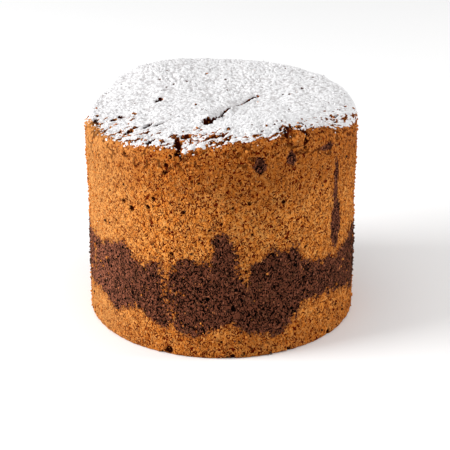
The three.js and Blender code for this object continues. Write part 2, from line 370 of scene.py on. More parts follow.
def ring_map(rows, columns):
    """Flat map of such a grid by corner: its side in strips, its ends as small discs."""
    column, row = np.meshgrid(np.arange(columns), np.arange(rows - 1))
    across = [column + step for step in (0, 1, 1, 0)]
    up = [row + step for step in (0, 0, 1, 1)]
    strip = column * STRIPS // columns
    u = np.stack([(at - strip * columns / STRIPS) * STRIPS / columns for at in across], -1)
    v = np.stack([strip * STRIP_STEP + STRIP_HEIGHT * at / (rows - 1) for at in up], -1)
    turn = np.arange(columns + 1) * 2 * math.pi / columns
    edge = END_RADIUS * np.stack([np.cos(turn), np.sin(turn)], -1)
    here, after = edge[:-1], edge[1:]
    fans = np.stack([0 * here, after, here], 1), np.stack([0 * here, here, after], 1)
    ends = [np.array(middle) + fan for middle, fan in zip(END_MIDDLES, fans)]
    return np.concatenate([part.reshape(-1, 2) for part in (np.stack([u, v], -1), *ends)])


def placed(name, data):
    """An object of this mesh, light or camera, put into the scene."""
    made = bpy.data.objects.new(name, data)
    bpy.context.scene.collection.objects.link(made)
    return made


def made_solid(name, points, faces, flat_map):
    """A smooth mesh object of points in mm, faces as arrays of one size each, and a flat map."""
    mesh = bpy.data.meshes.new(name)
    corners = np.concatenate([part.ravel() for part in faces])
    sides = np.concatenate([np.full(len(part), part.shape[1]) for part in faces])
    mesh.vertices.add(len(points))
    mesh.vertices.foreach_set("co", (points * MM).ravel())
    mesh.loops.add(len(corners))
    mesh.loops.foreach_set("vertex_index", corners)
    mesh.polygons.add(len(sides))
    mesh.polygons.foreach_set("loop_start", np.cumsum(sides) - sides)
    mesh.update(calc_edges=True)
    mesh.shade_smooth()
    mesh.uv_layers.new(name="OFBake").data.foreach_set("uv", flat_map.ravel())
    return placed(name, mesh)


def give_value(piece, name, values, *ends):
    """Stores a number for each vertex of a piece and of the ends that close it."""
    values = np.append(values.ravel(), ends).astype(np.float32)
    piece.data.attributes.new(name, "FLOAT", "POINT").data.foreach_set("value", values)


# Depth in the cocoa well outside it, and the least depth either way of a layer's own colour
OUTSIDE = -9.0
OWN_COLOUR = 0.3


def made_layer(name, skin, pits, cocoa):
    """A layer of sponge: a drum with this skin, closed at its ends, with its pits of painted shade and its
    cocoa.
    """
    ends = [[0, 0, skin[row, :, 2].mean()] for row in (0, -1)]
    points = np.concatenate([skin.reshape(-1, 3), ends])
    rows, columns = skin.shape[:2]
    layer = made_solid(name, points, ring_faces(rows, columns), ring_map(rows, columns))
    give_value(layer, "pit", pits, 0, 0)
    give_value(layer, "cocoa", cocoa, OUTSIDE, OUTSIDE)
    layer.data.materials.append(SPONGE_CRUMB)
    return layer


def add_node(tree, kind, inputs=(), **settings):
    """A node with these settings, each input filled by a value or by a link from an output."""
    made = tree.nodes.new(kind)
    for name, value in settings.items():
        setattr(made, name, value)
    for key, value in dict(inputs).items():
        if isinstance(value, bpy.types.NodeSocket):
            tree.links.new(value, made.inputs[key])
        else:
            made.inputs[key].default_value = value
    return made


def new_group(name, takes, gives):
    """An empty shader node group with sockets for values or a Colour, its input node and its output node."""
    tree = bpy.data.node_groups.new(name, "ShaderNodeTree")
    for side, sockets in (("INPUT", takes), ("OUTPUT", gives)):
        for socket in sockets:
            kind = "NodeSocketColor" if socket == "Colour" else "NodeSocketFloat"
            tree.interface.new_socket(socket, in_out=side, socket_type=kind)
    return tree, tree.nodes.new("NodeGroupInput"), tree.nodes.new("NodeGroupOutput")


def blend(tree, share, first, second):
    """The colour output of a mix of two colours by a share."""
    return add_node(tree, "ShaderNodeMix", {0: share, 6: first, 7: second}, data_type="RGBA").outputs[2]


def sums(tree, operation, *values):
    """The output of a maths node."""
    return add_node(tree, "ShaderNodeMath", dict(enumerate(values)), operation=operation).outputs[0]


def mapped(tree, value, low, high, to_low=0.0, to_high=1.0):
    """A value carried from one range to another with an eased step, and held at its ends."""
    inputs = {0: value, 1: low, 2: high, 3: to_low, 4: to_high}
    return add_node(tree, "ShaderNodeMapRange", inputs, interpolation_type="SMOOTHSTEP").outputs[0]


def attribute(tree, name):
    """The value that a piece stores under this name."""
    return add_node(tree, "ShaderNodeAttribute", attribute_name=name).outputs["Fac"]


GRAIN_STRETCH = (1, 1, 0.7)
SPECK_SIZE = 1.4
# Grain values. One is a painted sheen, paler towards the left side of the cake, and one carries painted shade
# towards the foot
GRAIN_VALUES = ("Grain", "Depth", "Tint", "Ragged", "Mottle_and_foot_shade", "Speck", "Painted_sheen")


def crumb_grain():
    """Crumb finer than the mesh, as values by the place in mm: noises, and specks as domes in cells.

    Depth is Grain and a share of Tint. The mottle falls where the oven baked the crust brown, and as painted
    shade towards the foot. The painted sheen is paler to the left, where the key light grazes the side."""
    tree, _, gives = new_group("crumb_grain", (), GRAIN_VALUES)
    place = add_node(tree, "ShaderNodeTexCoord").outputs["Object"]
    place = add_node(tree, "ShaderNodeVectorMath", {0: place, 3: 1 / MM}, operation="SCALE").outputs[0]
    upright = add_node(tree, "ShaderNodeVectorMath", {0: place, 1: GRAIN_STRETCH}, operation="MULTIPLY")
    upright = upright.outputs[0]

    def noise(at, size, detail, rough, bend=0.0):
        """The value of a noise texture of that size in mm."""
        inputs = {"Vector": at, "Scale": 1 / size, "Detail": detail, "Roughness": rough, "Distortion": bend}
        return add_node(tree, "ShaderNodeTexNoise", inputs).outputs["Fac"]

    across, _, height = add_node(tree, "ShaderNodeSeparateXYZ", {0: place}).outputs
    cells = add_node(tree, "ShaderNodeTexVoronoi", {"Vector": upright, "Scale": 1 / SPECK_SIZE}).outputs
    dome = mapped(tree, cells["Distance"], 0.25, 0.65, 1, 0)
    drawn_for_cell = add_node(tree, "ShaderNodeSeparateColor", {0: cells["Color"]}).outputs[0]
    crust_brown = mapped(tree, height, 90.0, 140.0, 0, 0.6)
    # Painted shade: the crumb is darker towards the foot
    foot_shade = mapped(tree, height, 0.0, 40.0, 0.40, 0.0)
    browned_and_foot_shade = sums(tree, "ADD", crust_brown, foot_shade)
    slow = noise(place, size=13.0, detail=3.0, rough=0.55)
    grain = noise(upright, size=1.9, detail=1.2, rough=0.55, bend=2.0)
    tint = noise(place, size=3.7, detail=2.0, rough=0.6)
    made = {
        "Grain": grain,
        "Depth": sums(tree, "MULTIPLY_ADD", tint, 0.3, grain),
        "Tint": tint,
        "Ragged": noise(place, size=2.0, detail=2.0, rough=0.6),
        "Mottle_and_foot_shade": sums(tree, "SUBTRACT", slow, browned_and_foot_shade),
        "Speck": sums(tree, "MULTIPLY", dome, drawn_for_cell),
        # Painted sheen: paler crumb colour towards the left side, where the key light grazes it
        "Painted_sheen": mapped(tree, across, -92.0, -40.0, 0.6, 0.0),
    }
    for name, value in made.items():
        tree.links.new(value, gives.inputs[name])
    return tree


# Colours of either crumb, as linear red, green, blue and opacity
VANILLA = {
    "cream": (0.75, 0.315, 0.077, 1),
    "gold": (0.72, 0.242, 0.038, 1),
    "shade": (0.39, 0.096, 0.011, 1),
    "browned_and_foot_shade": (0.27, 0.064, 0.007, 1),
    # Painted sheen: a paler gold for the left side
    "painted_sheen": (0.54, 0.255, 0.08, 1),
    "stained": (0.19, 0.052, 0.014, 1),
    "speck": (0.71, 0.37, 0.132, 1),
    # The brown walls of the fine pores, darkened by painted shade
    "pore": (0.09, 0.005, 0.0003, 1),
    # Painted shade in the deeper pits, bubbles and splits
    "pit_shade": (0.032, 0.003, 0.0004, 1),
}
COCOA = {
    "light": (0.158, 0.049, 0.0255, 1),
    "shade": (0.02, 0.006, 0.0032, 1),
    # Painted sheen: a lighter cocoa for the left side
    "painted_sheen": (0.34, 0.118, 0.066, 1),
    "dull_speck": (0.30, 0.108, 0.06, 1),
    "warm_speck": (0.44, 0.15, 0.052, 1),
    # Painted shade in the pores and pits, near black
    "pore": (0.002, 0.0004, 0.0004, 1),
}


def vanilla_colour(tree, took, light, pit_shade, inside):
    """Vanilla crumb: cream to gold on the grain, baked brown near the crust with painted shade towards the
    foot, with a painted sheen on the left, stained, and with painted shade in its pores and pits.
    """
    golden = blend(tree, mapped(tree, took["Tint"], 0.35, 0.65), VANILLA["cream"], VANILLA["gold"])
    colour = blend(tree, light, VANILLA["shade"], golden)
    # Painted shade in the fine pores of the grain
    pore = mapped(tree, took["Depth"], 0.57, 0.60, 1, 0)
    shares = {
        # Oven browning near the crust, random mottle, and painted shade at the foot
        "browned_and_foot_shade": mapped(tree, took["Mottle_and_foot_shade"], -0.15, 0.65, 0.62, 0.0),
        "painted_sheen": took["Painted_sheen"],
        "stained": mapped(tree, inside, -4.0, 0.0, 0, 0.6),
        "speck": mapped(tree, took["Speck"], 0.4, 0.9, 0.0, 0.45),
        "pore": sums(tree, "MULTIPLY", pore, sums(tree, "SUBTRACT", 1.0, took["Painted_sheen"])),
        "pit_shade": pit_shade,
    }
    for name, share in shares.items():
        colour = blend(tree, share, colour, VANILLA[name])
    return colour


def cocoa_colour(tree, took, light, pit_shade):
    """Cocoa crumb: lighter on the grain and with a painted sheen on the left, with paler specks, and with
    near black painted shade in its pores and pits.
    """
    colour = blend(tree, light, COCOA["shade"], COCOA["light"])
    colour = blend(tree, took["Painted_sheen"], colour, COCOA["painted_sheen"])
    warm = mapped(tree, took["Tint"], 0.55, 0.68)
    speck_colour = blend(tree, warm, COCOA["dull_speck"], COCOA["warm_speck"])
    colour = blend(tree, mapped(tree, took["Speck"], 0.35, 0.85), colour, speck_colour)
    # Painted shade in the fine pores of the grain
    pore = mapped(tree, took["Depth"], 0.585, 0.67, 1, 0)
    return blend(tree, sums(tree, "MAXIMUM", pore, pit_shade), colour, COCOA["pore"])


def crumb_colour():
    """Colour of the crumb: vanilla or cocoa by the ragged depth inside the cocoa, with painted shade in the
    pits.
    """
    tree, takes, gives = new_group("crumb_colour", ("Cocoa", "Pit", *GRAIN_VALUES), ("Colour",))
    took = takes.outputs
    # Painted shade by the stored pit depth
    pit_shade = mapped(tree, took["Pit"], 0.2, 0.85)
    light = mapped(tree, took["Grain"], 0.44, 0.54)
    ragged = sums(tree, "MULTIPLY_ADD", took["Ragged"], 12.0, -6.0)
    inside = sums(tree, "ADD", took["Cocoa"], ragged)
    vanilla = vanilla_colour(tree, took, light, pit_shade, inside)
    cocoa = cocoa_colour(tree, took, light, pit_shade)
    tree.links.new(blend(tree, mapped(tree, inside, -0.4, 0.4), vanilla, cocoa), gives.inputs["Colour"])
    return tree


GRAIN_GROUP, COLOUR_GROUP = crumb_grain(), crumb_colour()


def matt_material(name, gloss):
    """A new matt material with this much gloss, its node tree and its shader."""
    material = bpy.data.materials.new(name)
    material.use_nodes = True
    shader = material.node_tree.nodes["Principled BSDF"]
    shader.inputs["Roughness"].default_value = 0.9
    shader.inputs["Specular IOR Level"].default_value = gloss
    return material, material.node_tree, shader


def crumb_material(name, bump):
    """Dried crumb with a bump of the grain in mm: the material, its grain's outputs and its colour output."""
    material, tree, shader = matt_material(name, 0.01)
    grain = add_node(tree, "ShaderNodeGroup", node_tree=GRAIN_GROUP)
    fine = {socket.name: socket for socket in grain.outputs}
    inputs = {**fine, "Pit": attribute(tree, "pit"), "Cocoa": attribute(tree, "cocoa")}
    colour = add_node(tree, "ShaderNodeGroup", inputs, node_tree=COLOUR_GROUP).outputs[0]
    height = add_node(tree, "ShaderNodeBump", {"Height": fine["Grain"], "Distance": bump * MM})
    tree.links.new(colour, shader.inputs["Base Color"])
    tree.links.new(height.outputs[0], shader.inputs["Normal"])
    shader.inputs["Sheen Weight"].default_value = 0.008
    shader.inputs["Sheen Roughness"].default_value = 0.4
    return material, fine, colour


SPONGE_CRUMB = crumb_material("sponge_crumb", bump=1.5)[0]
LOWER_TOP = 46.0
LOWER_COLUMNS = 900
LOWER_ROWS = 96
BASE_RINGS = 4
FOOT_STEPS = 3
# How far from its hidden end a layer begins to sink under its neighbour
HIDDEN_END = 4.0
quarter = np.linspace(0, math.pi / 2, FOOT_STEPS + 1)[1:-1]
base_radius = np.linspace(0, BASE_RADIUS - FOOT_ROUND, BASE_RINGS + 1)[1:]
side_height = np.linspace(FOOT_ROUND, LOWER_TOP, LOWER_ROWS)
foot_radius = BASE_RADIUS - FOOT_ROUND * (1 - np.sin(quarter))
foot_height = FOOT_ROUND * (1 - np.cos(quarter))
radius = np.concatenate([base_radius, foot_radius, np.full(LOWER_ROWS, BASE_RADIUS)])
height = np.concatenate([0 * base_radius, foot_height, side_height])
plain = drum(LOWER_COLUMNS, radius, height)
in_cocoa = cocoa_depth(plain)
inside = np.minimum(-in_cocoa, LOWER_TOP - HIDDEN_END - plain[..., 2])
lower_skin, pits, lower_sunk = crumb_skin(plain, inside, 100)
# The base is flat inside its edge
lower_skin[: BASE_RINGS - 1] = plain[: BASE_RINGS - 1]
lower_vanilla = made_layer("lower_vanilla", lower_skin, pits, np.minimum(in_cocoa, -OWN_COLOUR))
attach(lower_vanilla, "root")
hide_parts("cake")

# The cocoa sponge
# The second batter, darkened with cocoa and poured over the first, which sagged into it and rose in tongues.
# It bakes as one with the vanilla above and below: along its edges the two crumbs interlock.
COCOA_FOOT = 8.0
COCOA_TOP = 94.0
COCOA_COLUMNS = 759
COCOA_ROWS = 126
plain = drum(COCOA_COLUMNS, BASE_RADIUS, np.linspace(COCOA_FOOT, COCOA_TOP, COCOA_ROWS))
in_cocoa = cocoa_depth(plain)
cocoa_skin, pits, cocoa_sunk = crumb_skin(plain, in_cocoa, 200)
cocoa_layer = made_layer("cocoa_layer", cocoa_skin, pits, np.maximum(in_cocoa, OWN_COLOUR))
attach(cocoa_layer, "root")
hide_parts("cake")

# The upper vanilla sponge
# The last vanilla batter, which makes the taller part of the side and carries the crust.
# Drips of cocoa batter that ran down the tin left a few dark spots and streaks on it.
UPPER_FOOT = 38.0
UPPER_LAP = SHOULDER - 10.0
UPPER_OVER = 6.0
UPPER_COLUMNS = 750
UPPER_ROWS = 126
# Drips of cocoa batter above the band: angle, height, half width, half height
DRIPS = [
    (15.6, 137.3, 3.9, 5.4), (29.6, 139.2, 3.5, 5), (48.3, 140, 6.6, 2.7), (55.4, 109, 2.4, 18),
    (57.2, 80, 6.2, 17), (118, 132, 3, 4), (158, 101, 1.6, 13), (207, 118, 4, 2.6), (251, 128, 2.6, 5),
]
DRIP_STEEP = 3.6
DRIP_RAGGED = 1.1
DRIP_RAGGED_SIZE = 2.8


def drip_depth(points):
    """Distance inside the drips of cocoa batter, in mm and made steeper, with a ragged edge."""
    waves = [soft_noise(points, DRIP_RAGGED_SIZE, seed) for seed in (44, 45, 46)]
    ragged = points + DRIP_RAGGED * np.stack(waves, -1)
    depth = OUTSIDE
    for drip in DRIPS:
        depth = np.maximum(depth, DRIP_STEEP * (1 - round_from(ragged, *drip)) * min(drip[2:]))
    return depth


height = np.linspace(UPPER_FOOT, UPPER_LAP + UPPER_OVER, UPPER_ROWS)
plain = drum(UPPER_COLUMNS, BASE_RADIUS, height)
in_cocoa = cocoa_depth(plain)
from_ends = np.minimum(height - UPPER_FOOT - HIDDEN_END, UPPER_LAP - height)[:, None]
upper_skin, pits, upper_sunk = crumb_skin(plain, np.minimum(-in_cocoa, from_ends), 300)
cocoa = np.maximum(drip_depth(plain), np.minimum(in_cocoa, -OWN_COLOUR))
upper_vanilla = made_layer("upper_vanilla", upper_skin, pits, cocoa)
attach(upper_vanilla, "root")
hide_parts("cake")

# The sugared crust
# The browned skin on top, which split along a fault and broke at the rim as the cake sank, under icing sugar.
# It is the upper end of the same sponge: its skirt runs down the side and sinks into the vanilla crumb there.
SKIRT = 16.0
CRUST_CELLS = 304
RIM_ARC = RIM_ROUND * math.pi / 2


def disc(cells):
    """Distance from the middle, 0 to 1, and angle of a square grid drawn out to a disc."""
    side = np.linspace(-1, 1, cells + 1)
    u, v = np.meshgrid(side, side, indexing="ij")
    wide = np.abs(u) > np.abs(v)
    reach = np.where(wide, np.abs(u), np.abs(v))
    turn = np.where(wide, v / np.where(u == 0, 1, u), u / np.where(v == 0, 1, v)) * math.pi / 4
    angle = np.where(wide, np.where(u > 0, 0, math.pi) + turn, np.where(v > 0, 0.5, 1.5) * math.pi - turn)
    return reach, np.where(reach == 0, 0, np.degrees(angle))


def crust_rows(along):
    """Radius and height along the crust's profile: the crown, the rim's arc, then the side."""
    bend = np.clip((along - CRUST_RADIUS) / RIM_ROUND, 0, math.pi / 2)
    down = np.maximum(along - CRUST_RADIUS - RIM_ARC, 0)
    flat = np.minimum(along, CRUST_RADIUS)
    radius = flat + RIM_ROUND * np.sin(bend)
    height = RIM_HEIGHT + CROWN * (1 - (flat / CRUST_RADIUS) ** 2) - RIM_ROUND * (1 - np.cos(bend)) - down
    return radius, height


# The crack opened behind the fault's lip, by this share of the sag's depth there
BREAK_BACK = 1.4
FAULT_WIDTH = 2.6
FAULT_DEPTH = 7.0
TEAR_DEPTH = 4.5
# Places where the fault gapes, and small tears: plan x, plan y, length, width, direction
GAPES = [
    (-8.7, -39.8, 15, 8.5, 85), (-8.4, -34.5, 9, 5, 8), (-0.5, -25, 9, 4.6, 62), (22.4, 14.8, 8, 3.6, 41),
]
TEARS = [
    (-42.5, 11.3, 9, 6, 58), (-84, -15, 6, 2.4, 70), (-71.8, -14, 6, 3.2, 50), (-67.3, -10, 6, 3, -43),
    (-60, -44, 7, 3.6, 80), (-48.7, -33.6, 12, 4.6, 62), (-41, -34.3, 10.6, 4.2, 53),
    (-45.5, -68, 10, 3.6, 62), (-22.6, -72, 8, 5.4, 20), (4.5, -67.6, 4, 3.4, 60), (44.3, -69, 9, 4, 30),
    (51.4, -57, 5, 3, 60), (76.4, -18.4, 7, 2.6, 80),
]
SPLIT_TAPER = 0.7
SPLIT_TIP = 0.02
SPLIT_RAGGED = (0.8, 2.6)


def split_depth(x, y, line, width):
    """Depth into a split along a line, 0 to 1: it tapers from its middle to its ends."""
    line = np.array(line, float)
    steps = len(line) - 1
    depth = 0.0
    for i in range(steps):
        start, run = line[i], line[i + 1] - line[i]
        share = np.clip(((x - start[0]) * run[0] + (y - start[1]) * run[1]) / (run @ run), 0, 1)
        away = np.hypot(x - start[0] - share * run[0], y - start[1] - share * run[1])
        along = np.clip((i + share) / steps, SPLIT_TIP, 1 - SPLIT_TIP)
        half = width / 2 * np.sin(math.pi * along) ** SPLIT_TAPER
        depth = np.maximum(depth, 1 - (away / half) ** 2)
    return depth


def crust_splits(points, widen=0.0):
    """Depth in mm of the fault and the tears, widened by an amount, with ragged edges."""
    x = points[..., 0] + ruffled(points, [(*SPLIT_RAGGED, 51)])
    y = points[..., 1] + ruffled(points, [(*SPLIT_RAGGED, 52)])
    crack = [(at_x - BREAK_BACK * SAG * bell(at_y - SAG_AT, SAG_REACH), at_y) for at_x, at_y in FAULT]
    depth = FAULT_DEPTH * np.sqrt(split_depth(x, y, crack, FAULT_WIDTH + widen))
    for deep, tears in ((FAULT_DEPTH, GAPES), (TEAR_DEPTH, TEARS)):
        for at_x, at_y, length, width, turn in tears:
            a = math.radians(turn)
            half = length / 2 * np.array([math.cos(a), math.sin(a)])
            middle = np.array([at_x, at_y])
            line = [middle - half, middle, middle + half]
            depth = np.maximum(depth, deep * np.sqrt(split_depth(x, y, line, width + widen)))
    return depth


# The cleft over the rim, with its ends as angle, height and inset
CLEFT_TOP = (-21.2, 149.8, 17)
CLEFT_BOTTOM = (-16, 142, 0)
CLEFT_WIDTH = 6.4
CLEFT_DEPTH = 12.0
CLEFT_RAGGED = [(1.5, 3.0, 53)]


def cleft_depth(points):
    """Depth in mm of the cleft: a long ball laid from the crust over the rim, with ragged edges."""
    top, bottom = side_point(*CLEFT_TOP), side_point(*CLEFT_BOTTOM)
    length = np.linalg.norm(top - bottom)
    along = (top - bottom) / length
    across = np.cross(along, [bottom[0], bottom[1], 0])
    across = across / np.linalg.norm(across)
    offset = points - (top + bottom) / 2 + ruffled(points, CLEFT_RAGGED)[..., None]
    axes = ((along, length), (across, CLEFT_WIDTH), (np.cross(along, across), CLEFT_DEPTH))
    away = sum((offset @ axis / (size / 2)) ** 2 for axis, size in axes)
    return CLEFT_DEPTH / 2 * np.sqrt(np.maximum(1 - away, 0))


# Crumb heaved up beside the cleft and at the right of the rim: angle, height, inset, size
FLAP = [(-14.8, 143.5, 3.5, 4.4), (-11.5, 145.8, 4, 4.4), (-8, 148, 4, 4.2)]
KNOB = [(32.8, 149.7, 4.8, 7.4), (28.4, 148.0, 3.5, 4)]
FLAP_ROUGH = 0.18
KNOB_ROUGH = 0.34
HEAVED_WAVES = [(1.0, 4.0, 54), (0.55, 1.8, 56)]
CREASE_DEPTH = 2.4
CREASE_WIDTH = 0.9
CREASE_WAVES = [(0.8, 3.0, 55), (0.8, 5.0, 57)]


def heaved(points, lumps, rough):
    """How far broken lumps stand out in mm: their uneven radius less the distance to their middle."""
    out = 0.0
    uneven = rough * ruffled(points, HEAVED_WAVES)
    for *place, size in lumps:
        away = np.linalg.norm(points - side_point(*place), axis=-1)
        out = np.maximum(out, size * (1 + uneven) - away)
    return out


def crease_depth(points):
    """Depth in mm of the groove round the knob: a bell, above the knob and down its right side."""
    *place, size = KNOB[0]
    offset = points - side_point(*place)
    away = np.linalg.norm(offset, axis=-1)
    groove = bell(away - size - CREASE_WIDTH - ruffled(points, CREASE_WAVES), CREASE_WIDTH)
    above = eased(offset[..., 2], 2, 6)
    beside = 0.7 * eased(offset[..., 2], -5, 0) * eased(offset[..., 0], 2, 5)
    return CREASE_DEPTH * groove * np.maximum(above, beside)


def square_facing(grid):
    """Unit normals of an open grid of points: the cross product of its two differences."""
    normal = np.cross(np.gradient(grid, axis=0), np.gradient(grid, axis=1))
    return normal / np.linalg.norm(normal, axis=-1, keepdims=True)


# Middle and half sizes in plan of the broken crust behind the flap
BROKEN = (-13, -76, 17, 9)
# Stretches of the rim: angle of the middle, and the cosines from it where one begins and is full
WORN_FRONT = (0, 0.1, 0.6)
WORN_LEFT = (-66, 0.91, 0.98)
WORN_DEEPER = (-60, 0.95, 0.99)
SPARED = (-41, 0.965, 0.995)
THINNED = (-38, 0.3, 0.9)
FLECKED = (0, -0.2, 0.3)
FLECKED_WIDE = (-45, 0.35, 0.85)
SPECKED = (55, 0.75, 0.95)


def broken_share(points):
    """Place in the broken crust behind the flap, 0 to 1."""
    x, y, half_width, half_depth = BROKEN
    return eased(np.hypot((points[..., 0] - x) / half_width, (points[..., 1] - y) / half_depth), 1.2, 0.7)


def stretch(angle, middle, begins, full):
    """Place in a stretch of the rim, 0 to 1: the eased cosine of the angle from its middle."""
    return eased(np.cos(np.radians(angle - middle)), begins, full)


def strip(along, begins, full):
    """Place in a strip along the rim, 0 to 1, which begins and is full this far inside it."""
    return eased(along, CRUST_RADIUS - begins, CRUST_RADIUS - full)


def thinned_share(angle, along):
    """Place in the strip at the front left where the sugar was thinned by rubbing, 0 to 1."""
    return stretch(angle, *THINNED) * strip(along, 28, 5)


# Bare flecks: size, stretch and direction in plan, and least and added width of their strip
FLECK_SIZE = 2.1
FLECK_STRETCH = 1.8
FLECK_TURN = 48.0
FLECK_STRIP = 11.0
FLECK_STRIP_MORE = 26.0
SPECK_SHAPE = np.array([1, 0.5, 1]) / 1.7


def peaks(noise, share, rise, start, stop):
    """Peaks of noise, 0 to 1: more of them the further into a strip, and none outside it."""
    return eased(noise + rise * share, start, stop) * eased(share, 0.0, 0.3)


def flecks(points, angle, along):
    """Bare flecks in the sugar, 0 to 1: peaks of noise drawn out aslant in front, and specks at the right."""
    turn = math.radians(FLECK_TURN)
    lengthwise = points[..., 0] * math.cos(turn) + points[..., 1] * math.sin(turn)
    sideways = points[..., 1] * math.cos(turn) - points[..., 0] * math.sin(turn)
    drawn_out = np.stack([lengthwise / FLECK_STRETCH, sideways, points[..., 2]], -1)
    width = FLECK_STRIP + FLECK_STRIP_MORE * stretch(angle, *FLECKED_WIDE)
    in_front = strip(along, width, 0.3 * width) * stretch(angle, *FLECKED)
    at_right = stretch(angle, *SPECKED) * strip(along, 26, 6)
    bare = peaks(soft_noise(drawn_out, FLECK_SIZE, 69), in_front, 0.4, 0.64, 0.78)
    specks = peaks(soft_noise(points * SPECK_SHAPE, 1.0, 71), at_right, 0.3, 0.62, 0.74)
    return np.maximum(bare, specks)


# Least slope, as the normal's upright part, that holds sugar on sound and on broken crust
HOLD = 0.30
HOLD_BROKEN = 0.84
# What wear adds to it, how far inside the rim that begins, over what run, and what shifts it
WORN = 0.75
WORN_IN = 6.0
WORN_RUN = 10.0
WORN_WAVES = [(3.5, 2.4, 70)]
SPARED_BY = 5.0
DEEPER_BY = 2.2
THINNED_BY = 0.42
THINNED_WAVES = [(0.28, 4.4, 68)]


def sugar_hold(points, angle, along):
    """Least slope that holds sugar, raised where it was rubbed off or thinned, and where the crust broke."""
    worn_in = WORN_IN - SPARED_BY * stretch(angle, *SPARED) + DEEPER_BY * stretch(angle, *WORN_DEEPER)
    at_rim = strip(along + ruffled(points, WORN_WAVES), worn_in, worn_in - WORN_RUN)
    patchy = THINNED_BY + ruffled(points, THINNED_WAVES)
    worn = np.maximum(stretch(angle, *WORN_FRONT), stretch(angle, *WORN_LEFT))
    hold = HOLD + worn * np.maximum(WORN * at_rim, patchy * thinned_share(angle, along))
    return between((hold, HOLD_BROKEN), broken_share(points))


reach, angle = disc(CRUST_CELLS)
angle = angle + 90
along = reach * (CRUST_RADIUS + RIM_ARC + SKIRT)
plain = baked(angle, *crust_rows(along))
outward = square_facing(plain)
below = strip(along, 1, -6)
splits = np.maximum.reduce([part(plain) for part in (crust_splits, cleft_depth, crease_depth, pore_depth)])
flap, knob = heaved(plain, FLAP, FLAP_ROUGH), heaved(plain, KNOB, KNOB_ROUGH)

# The bare crust: small mounds with creases between them, which pass into open crumb below the rim
MOUNDS = (1.9, 0.95, (1.0, 1.75), 420)
MOUND_BASE = 0.75
MOUND_WAVES = [(0.2, 6.5, 66), (0.2, 1.4, 64)]
CREASED_BELOW = 0.35
mounds = bubbles(plain, *MOUNDS)
# Creases between the mounds, which get painted shade
creased = eased(mounds, CREASED_BELOW, 0)
torn = np.maximum(1.2 * broken_share(plain), 0.8 * thinned_share(angle, along))
bumps = mounds + ruffled(plain, MOUND_WAVES) - MOUND_BASE + torn * soft_noise(plain, 4.2, 67)
crumb_relief, crumb_pits = crumb(plain, 400)
relief = between((bumps, crumb_relief), below)
pits = between((creased, crumb_pits), below)
bare = plain + outward * (relief - splits + np.maximum(flap, knob))[..., None]

# Sugar lies where the bare crust is flat enough, but for flecks, pinholes, splits and the knob
PINHOLES = (3.0, 0.035, (0.8, 1.4), 430)
GRIP_WAVES = [(0.12, 1.6, 62)]
GRIP_EDGE = 0.06
upright = square_facing(bare)[..., 2] + ruffled(plain, GRIP_WAVES)
dust = eased(upright - sugar_hold(plain, angle, along), -GRIP_EDGE, GRIP_EDGE)
on_flap = eased(flap, 0.1, 0.6) * eased(upright, 0.42, 0.6)
pinholes = eased(bubbles(plain, *PINHOLES), 0.0, 0.5) * (1 - below)
fleck = flecks(plain, angle, along)
dust = np.maximum(dust * (1 - np.maximum(fleck, pinholes)), on_flap)
dust = dust * (1 - eased(splits, 0.3, 1.0)) * (1 - eased(knob, 0, 0.6))

# Along the fault the sugar is thick and smooth on the front lip, and the sag behind it gets painted shade,
# greyer towards the fault
SUGAR_THICK = 0.3
SUGAR_FOLLOWS = 0.85
LIP_THICK = 0.9
LIP_WIDTH = 1.5
LIP_REACH = 20.0
LIP_SMOOTH = 0.8
# Painted shade in the sag behind the fault, as a share of its depth
painted_shade = sag(plain[..., 0], plain[..., 1]) / SAG
lip = bell(behind_fault(plain[..., 0], plain[..., 1]) + LIP_WIDTH, LIP_WIDTH)
lip = lip * bell(plain[..., 1] - SAG_AT, LIP_REACH)
sugar_relief = SUGAR_THICK + SUGAR_FOLLOWS * relief * (1 - LIP_SMOOTH * lip) + LIP_THICK * lip
covered = plain + outward * (sugar_relief - splits + flap)[..., None]
sink = sunk_by(crust_rows(along)[1] - UPPER_LAP)
crust_skin = between((bare, covered), dust[..., None]) - outward * sink[..., None]
# Painted shade where the crust is bare: in creases, flecks and splits
pits = np.maximum(np.maximum(pits, 0.6 * fleck), eased(splits, 0, 0.6)) * (1 - dust)
# Painted shade also darkens the pinholes and the upper edges of a split's walls
WALL_EDGE = 1.5
pits = np.maximum(np.maximum(pits, pinholes), eased(crust_splits(plain, WALL_EDGE), 0, 0.6))


def sheet_faces(cells):
    """Quads of an open square grid, and a fan from its edge to one point below that closes it."""
    number = np.arange((cells + 1) ** 2).reshape(cells + 1, cells + 1)
    quads = np.stack([number[:-1, :-1], number[1:, :-1], number[1:, 1:], number[:-1, 1:]], -1).reshape(-1, 4)
    edge = np.concatenate([number[:-1, 0], number[-1, :-1], number[:0:-1, -1], number[0, :0:-1]])
    fan = np.stack([np.roll(edge, -1), edge, 0 * edge + number.size], -1)
    return [quads, fan]


SHEET_WIDTH = 0.9
FAN_FROM = 0.91
FAN_WIDTH = 0.08


def sheet_map(cells):
    """Flat map of such a grid by corner: the square, and its fan as triangles beside it."""
    row, column = np.meshgrid(np.arange(cells), np.arange(cells), indexing="ij")
    u = np.stack([row + step for step in (0, 1, 1, 0)], -1) * SHEET_WIDTH / cells
    v = np.stack([column + step for step in (0, 0, 1, 1)], -1) / cells
    start = np.arange(4 * cells)[:, None] / (4 * cells)
    fan_u = FAN_FROM + FAN_WIDTH * np.array([0, 0, 1]) + 0 * start
    fan_v = start + np.array([1, 0, 0.5]) / (4 * cells)
    return np.concatenate([np.stack(pair, -1).reshape(-1, 2) for pair in ((u, v), (fan_u, fan_v))])


